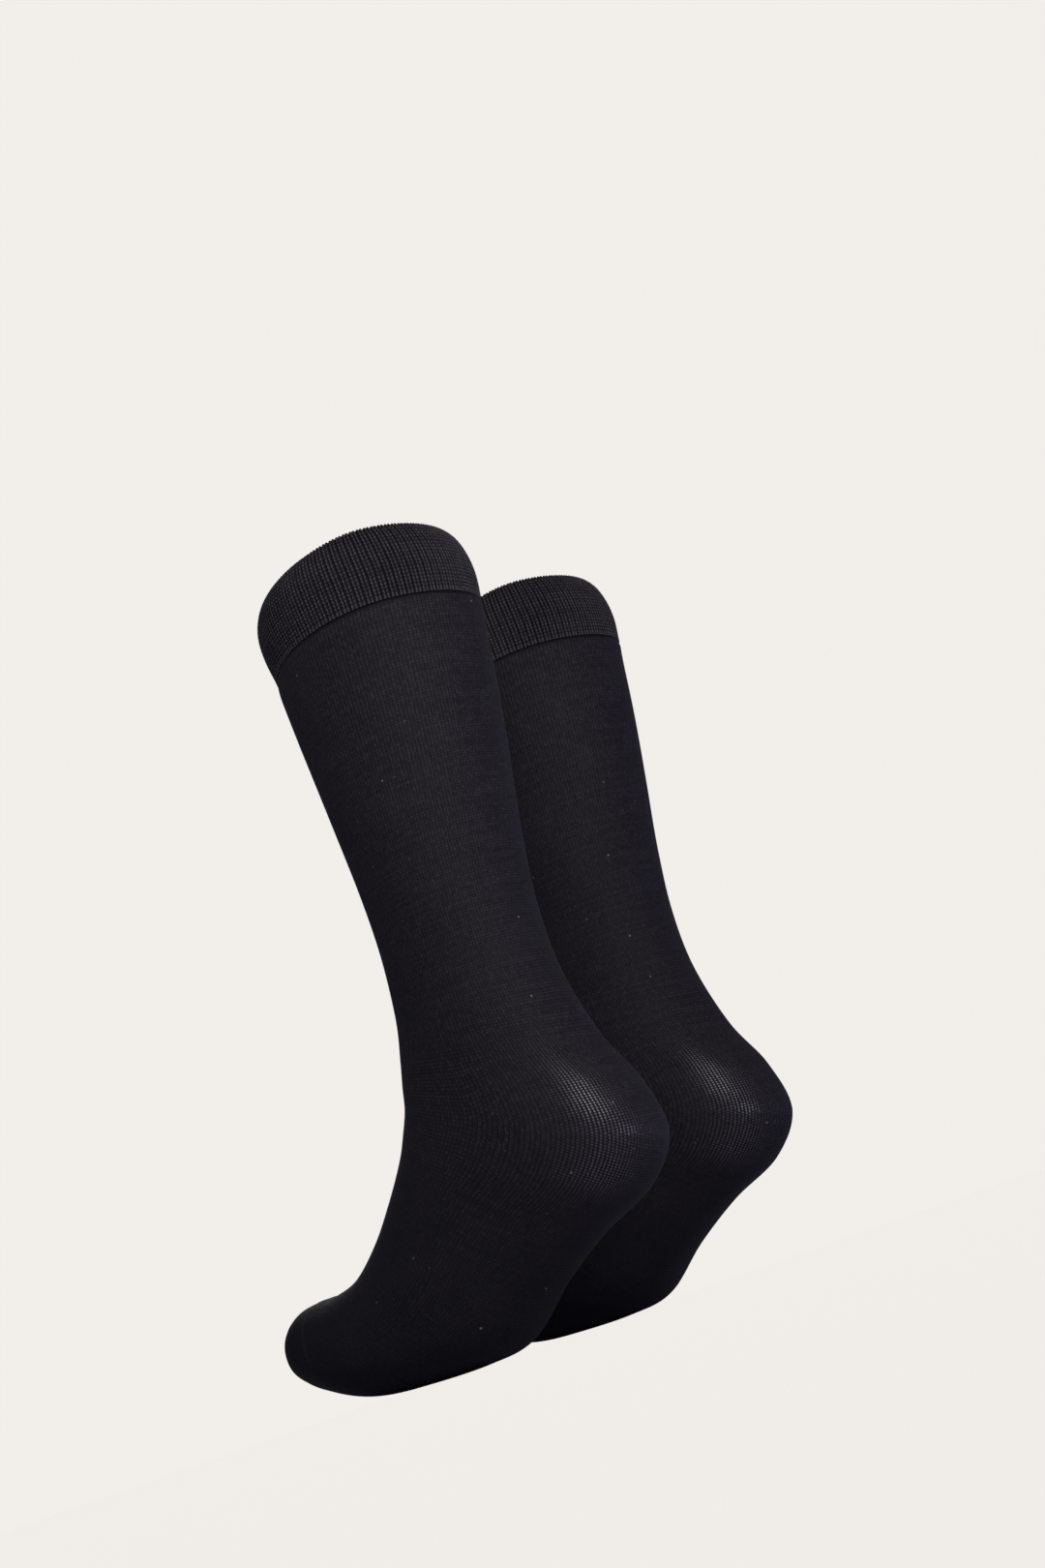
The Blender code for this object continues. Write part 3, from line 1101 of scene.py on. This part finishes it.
# ---- the ribbed welt --------------------------------------------------------
@dataclass
class RibbedWelt:
    """The one-by-one ribbed band at the mouth of one sock.

    Sizes are in millimetres, leg_at and leg_width in half ribs, rim_depth and
    lift_depth in course numbers of the form, lip_from and lip_full in courses above
    the lower edge, and dark_from and dark_full in shares of the groove's depth, over
    which the grooves are painted darker as painted shade. Lift_half is the cosine of
    the angle from which the rim is pulled up, and roll_sink how far the grooves sink
    in the roll, for each millimetre of their depth.
    """

    form: SockForm
    ribs: int = 84
    points_per_rib: int = 10
    course_height: float = 1.87
    rings_per_course: int = 4
    rings_per_lining: int = 12
    wall: float = 2.4
    groove: float = 1.6
    cleft: float = 1.0
    leg_at: float = 0.48
    leg_width: float = 0.32
    stitch_rise: float = 0.17
    seam_gap: float = 0.3
    rim_depth: float = 0.15
    rim_lift: float = 1.8
    lift_depth: float = 1.1
    lift_half: tuple[float, float] = (-0.1, 0.6)
    roll_sink: float = 0.35
    lip_from: float = 1.1
    lip_full: float = 0.3
    lip_filled: float = 0.35
    lip_rise: float = 0.15
    lip_shown: float = 0.9
    dark_from: float = 0.15
    dark_full: float = 0.62
    roll_degrees: tuple[float, ...] = (24.0, 50.0, 76.0, 102.0, 128.0, 154.0)
    flat: tuple[float, float] = (0.240, 0.045)

    @property
    def name(self) -> str:
        """The piece's name."""
        return f"{self.form.side.prefix}_ribbed_welt"

    @property
    def size(self) -> int:
        """How many points a ring has."""
        return self.ribs * self.points_per_rib

    def stations(self) -> Array:
        """Course numbers of the rings, evenly down the cloth, from below the rim.

        Returns:
            Rising numbers, four rings to a course of the rib.
        """
        samples, around = 400, 24
        fine = np.linspace(self.rim_depth, self.form.row_of("welt_end"), samples)
        points = self.form.rings(fine, np.linspace(0, math.tau, around, endpoint=False))
        steps = np.linalg.norm(np.diff(points, axis=0), axis=-1).mean(axis=1)
        length = np.concatenate([[0.0], np.cumsum(steps)])
        rings = int(round(length[-1] / self.course_height * self.rings_per_course)) + 1
        return np.interp(np.linspace(0.0, length[-1], rings), length, fine)

    def rib_rise(self, angles: Array, courses: Array) -> Array:
        """How deep each point lies below the top of its rib.

        Across a rib the two legs of the V fall off, 1 - cos(pi x / 2), to the groove
        beside the rib, with a shallower cleft between them, and each stitch swells
        them, cos(2 pi (course + x / 2)).

        Args:
            angles: Angles of a ring.
            courses: Course count of each ring.

        Returns:
            Heights in millimetres, (rings, angles), none above 0.
        """
        across = np.abs(((angles / math.tau * self.ribs + 0.5) % 1.0 - 0.5) * 2.0)
        outer = np.clip((across - self.leg_at) / (1.0 - self.leg_at), 0.0, 1.0)
        inner = np.clip(1.0 - across / self.leg_at, 0.0, 1.0)
        fall = self.groove * (1.0 - np.cos(outer * math.pi / 2)) + self.cleft * inner**1.5
        wave = np.cos(math.tau * (courses[:, None] + 0.5 * across[None, :]))
        leg = np.exp(-(((across - self.leg_at) / self.leg_width) ** 2))
        return self.stitch_rise * leg * (wave - 1.0) - fall

    def rim_rise(self, at: Array, angles: Array) -> Array:
        """How far the rim is pulled up behind the calf.

        Args:
            at: Course numbers of the rings.
            angles: Angles of a ring.

        Returns:
            Moves straight up, in millimetres, (rings, angles, 3).
        """
        upper = 1.0 - smooth_step(at, 0.0, self.lift_depth)[:, None]
        behind = smooth_step(np.cos(angles), *self.lift_half)[None, :]
        rise = self.rim_lift * upper * behind
        return rise[..., None] * np.array([0.0, 0.0, 1.0])

    def build(self) -> bpy.types.Object:
        """Makes the band as a closed shell with a rolled rim.

        The stitches of the last course, the lip, fill their grooves a little, and the
        tops of their ribs are made paler.

        Returns:
            The piece, fastened to the frame.
        """
        at = self.stations()
        angles = np.linspace(0.0, math.tau, self.size + 1)
        wales = angles / math.tau * self.ribs
        courses = np.arange(len(at)) / self.rings_per_course
        level = np.broadcast_to(courses[:, None], (len(at), self.size + 1))
        form, turn = self.form, angles[:-1]
        normals = form.outward(at, turn)
        skin = form.rings(at, turn) + self.rim_rise(at, turn)
        rise = self.rib_rise(turn, courses)
        edge = courses[-1]
        lip = smooth_step(courses, edge - self.lip_from, edge - self.lip_full)[:, None]
        stand = rise * (1.0 - self.lip_filled * lip) + self.lip_rise * (1.0 - lip) * lip
        outside = skin + stand[..., None] * normals
        outside[-1] -= form.toeward(at[-1:])[0] * self.seam_gap / 2
        # Painted shade: the grooves between the ribs are painted darker towards their floor.
        painted_groove_shade = smooth_step(-rise, self.groove * self.dark_from, self.groove * self.dark_full)
        work = Patchwork()
        seam = self.lip_shown * lip * (1.0 - painted_groove_shade)
        start = work.add_points(outside, shade=painted_groove_shade, seam=seam)
        work.add_band(start, wales, level, level, out=True)
        self.roll_rim(work, skin[0], normals[0], rise[0], wales)
        self.line(work, skin, normals, wales, level)
        piece = work.piece(self.name, RIBBING.build())
        LOG.info("%s: %d points, %d rings", piece.name, work.count, len(at))
        return self.declare(piece)

    def roll_rim(
        self, work: Patchwork, skin: Array, normals: Array, rise: Array, wales: Array
    ) -> None:
        """Rolls the rim over from the outside to the inside, ribs and all.

        The roll is half an ellipse, cos across the wall and sin up to the rim.

        Args:
            work: The patchwork that holds the outside.
            skin: Points of its first ring, on the top of the ribs.
            normals: Their outward normals.
            rise: Their depth below the top of the rib.
            wales: Wale numbers of a ring.
        """
        at, turn = np.array([0.0]), wales[:-1] / self.ribs * math.tau
        top = self.form.rings(at, turn)[0] + self.rim_rise(at, turn)[0]
        up = top - skin
        up -= (up * normals).sum(axis=1, keepdims=True) * normals
        middle = skin - self.wall / 2 * normals
        turns = np.radians(self.roll_degrees)[:, None, None]
        radius = self.wall / 2 + rise[:, None] * (0.5 + 0.5 * np.cos(turns))
        roll = middle + np.cos(turns) * radius * normals
        roll = roll + np.sin(turns) * up * (1.0 + rise[:, None] * self.roll_sink)
        blank = np.zeros(roll.shape[:2])
        start = work.add_points(roll, shade=blank, seam=blank)
        rings = len(self.roll_degrees)
        counts = -(np.arange(rings)[:, None] + 1.0) / self.rings_per_course
        level = np.broadcast_to(counts, (rings, self.size + 1))
        work.add_band(start, wales, level, level, out=False)
        work.add_edge(0, start, self.size, wales, 0.0)

    def line(self, work: Patchwork, skin: Array, normals: Array, wales: Array, level: Array) -> None:
        """Adds the plain inside and joins it to the roll and the lower edge.

        Args:
            work: The patchwork that holds the outside and the roll.
            skin: Points on the top of the ribs, ring by ring.
            normals: Their outward normals.
            wales: Wale numbers of a ring.
            level: Course counts of the rings.
        """
        plain = skin - self.wall * normals
        inside = np.concatenate([plain[:: self.rings_per_lining], plain[-1:]])
        end = np.array([self.form.row_of("welt_end")])
        inside[-1] -= self.form.toeward(end)[0] * self.seam_gap / 2
        counts = np.concatenate([level[:: self.rings_per_lining], level[-1:]])
        blank = np.zeros(inside.shape[:2])
        start = work.add_points(inside, shade=blank, seam=blank)
        work.add_band(start, wales, counts, counts, out=False)
        roll_end = start - self.size
        rim_count = -len(self.roll_degrees) / self.rings_per_course
        work.add_edge(roll_end, start, self.size, wales, rim_count)
        outer_end = (len(skin) - 1) * self.size
        inner_end = start + (len(inside) - 1) * self.size
        work.add_edge(inner_end, outer_end, self.size, wales, level[-1, 0])

    def declare(self, piece: bpy.types.Object) -> bpy.types.Object:
        """Fastens the piece to the frame and hides the frame's solid that it covers.

        Args:
            piece: The finished piece.

        Returns:
            The same piece.
        """
        prefix = self.form.side.prefix
        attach(piece, BODY)
        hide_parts(f"{prefix}_welt")
        return piece


# ---- the studio -------------------------------------------------------------
LEGS = (0.03, -0.03, -0.14)
FEET = (-0.02, -0.08, -0.36)


@dataclass(frozen=True)
class Lamp:
    """A soft rectangular lamp, aimed at a point, in metres and watts."""

    name: str
    place: Place
    size: tuple[float, float]
    power: float
    target: Place = LEGS
    colour: Colour = (1.0, 1.0, 1.0)

    def build(self) -> bpy.types.Object:
        """Makes the lamp, which the camera doesn't see.

        Returns:
            The lamp, linked to the scene.
        """
        data = bpy.data.lights.new(self.name, "AREA")
        data.shape = "RECTANGLE"
        data.size, data.size_y = self.size
        data.energy = self.power
        data.color = self.colour
        lamp = bpy.data.objects.new(self.name, data)
        lamp.location = self.place
        way = Vector(self.target) - Vector(self.place)
        lamp.rotation_euler = way.to_track_quat("-Z", "Y").to_euler()
        lamp.visible_camera = False
        bpy.context.scene.collection.objects.link(lamp)
        return lamp


@dataclass
class Studio:
    """A pale floor that runs into a pale room, soft lamps and the camera.

    Floor_glow is the share of the floor's tone that it has of itself, and floor_matt
    the colour that takes and gives back the lamps' light. The lens is in millimetres.
    """

    pale: Colour = (0.888, 0.855, 0.823)
    room_tint: Colour = (0.82, 0.77, 1.0)
    room_light: float = 0.125
    floor_glow: float = 0.985
    floor_matt: Colour = (0.48, 0.48, 0.60)
    floor_height: float = -0.3815
    floor_size: float = 12.0
    lens: float = 51.079
    frame_height: float = 36.0
    camera_place: Place = (1.0208, 0.4572, -0.3787)
    camera_right: Place = (-0.4504, 0.83292, -0.32154)
    camera_up: Place = (0.0687, 0.3914, 0.91765)
    near_clip: float = 0.008
    far_clip: float = 50.0
    lamps: tuple[Lamp, ...] = (
        Lamp("key", (0.712, 0.584, 0.186), (0.45, 0.5), 4.7, colour=(1.0, 0.985, 0.93)),
        Lamp("front", (1.379, 0.813, -0.033), (0.6, 0.6), 0.6),
        Lamp("left", (0.477, -0.692, 0.261), (0.5, 0.5), 0.8, colour=(0.93, 0.92, 1.0)),
        Lamp("low", (0.25, 0.46, -0.37), (0.22, 0.12), 1.1, FEET, (0.80, 0.77, 1.0)),
        Lamp("behind", (-0.633, 0.353, 0.443), (0.5, 0.5), 0.3),
        Lamp("rim", (-0.672, 0.519, -0.365), (0.3, 0.3), 0.5, colour=(0.55, 0.70, 1.0)),
        Lamp("far", (-1.338, -0.697, 0.394), (0.8, 0.8), 6.0),
    )

    def build(self) -> None:
        """Sets up the room, floor, lamps and camera."""
        self.build_room()
        self.build_floor()
        for lamp in self.lamps:
            lamp.build()
            LOG.info("lamp %s", lamp.name)
        self.build_camera()

    def build_room(self) -> None:
        """Gives the world its pale backdrop, and a dimmer, even light of its own."""
        graph = Graph(bpy.data.worlds.new("room"))
        cast = {"Color": (*self.room_tint, 1.0), "Strength": self.room_light}
        light = graph.node("ShaderNodeBackground", {}, cast)
        seen = graph.node("ShaderNodeBackground", {}, {"Color": (*self.pale, 1.0)})
        path = graph.node("ShaderNodeLightPath", {}, {})
        shares = {0: path.outputs["Is Camera Ray"], 1: light.outputs[0], 2: seen.outputs[0]}
        either = graph.node("ShaderNodeMixShader", {}, shares)
        graph.node("ShaderNodeOutputWorld", {}, {"Surface": either.outputs[0]})
        bpy.context.scene.world = graph.owner
        bpy.context.scene.view_settings.view_transform = "Standard"

    def build_floor(self) -> bpy.types.Object:
        """Makes the floor, pale as the room, so that it shows as hardly more than it.

        From below it is clear, so the part can be seen from there too.

        Returns:
            The floor.
        """
        half = self.floor_size / 2
        corners = [(-half, -half), (half, -half), (half, half), (-half, half)]
        mesh = bpy.data.meshes.new("floor")
        mesh.from_pydata([(x, y, self.floor_height) for x, y in corners], [], [(0, 1, 2, 3)])
        graph = Graph(bpy.data.materials.new("floor_paper"))
        matt = graph.node("ShaderNodeBsdfDiffuse", {}, {0: (*self.floor_matt, 1.0)})
        glow = graph.node("ShaderNodeEmission", {}, {0: (*self.pale, 1.0)})
        path = graph.node("ShaderNodeLightPath", {}, {})
        seen = Value(graph, path.outputs["Is Camera Ray"]) * self.floor_glow
        shares = {0: seen, 1: matt.outputs[0], 2: glow.outputs[0]}
        both = graph.node("ShaderNodeMixShader", {}, shares)
        clear = graph.node("ShaderNodeBsdfTransparent", {}, {})
        facing = graph.node("ShaderNodeNewGeometry", {}, {})
        sockets = {0: facing.outputs["Backfacing"], 1: both.outputs[0], 2: clear.outputs[0]}
        one_sided = graph.node("ShaderNodeMixShader", {}, sockets)
        graph.node("ShaderNodeOutputMaterial", {}, {0: one_sided.outputs[0]})
        mesh.materials.append(graph.owner)
        floor = bpy.data.objects.new("floor", mesh)
        bpy.context.scene.collection.objects.link(floor)
        return floor

    def build_camera(self) -> bpy.types.Object:
        """Makes the camera, for an upright picture, and rolls it as it is held.

        Returns:
            The camera, which the scene then uses.
        """
        data = bpy.data.cameras.new("camera")
        data.sensor_fit = "VERTICAL"
        data.sensor_height = self.frame_height
        data.lens = self.lens
        data.clip_start, data.clip_end = self.near_clip, self.far_clip
        right, up = Vector(self.camera_right).normalized(), Vector(self.camera_up)
        back = right.cross(up).normalized()
        up = back.cross(right)
        axes = Matrix((right, up, back)).transposed().to_4x4()
        camera = bpy.data.objects.new("camera", data)
        camera.matrix_world = Matrix.Translation(self.camera_place) @ axes
        bpy.context.scene.collection.objects.link(camera)
        bpy.context.scene.camera = camera
        return camera


def clear_scene() -> None:
    """Removes every object that a new file starts with."""
    for thing in list(bpy.data.objects):
        bpy.data.objects.remove(thing, do_unlink=True)


def main() -> None:
    """Builds the knit over the frame, then the studio around it."""
    logging.basicConfig(level=logging.INFO, format="%(name)s: %(message)s")
    clear_scene()
    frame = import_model()
    LOG.info("frame with %d nodes", len(frame["nodes"]))
    for side in Side:
        form = SockForm(side)
        JerseyTube(form).build()
        RibbedWelt(form).build()
    Studio().build()


if __name__ == "__main__":
    main()
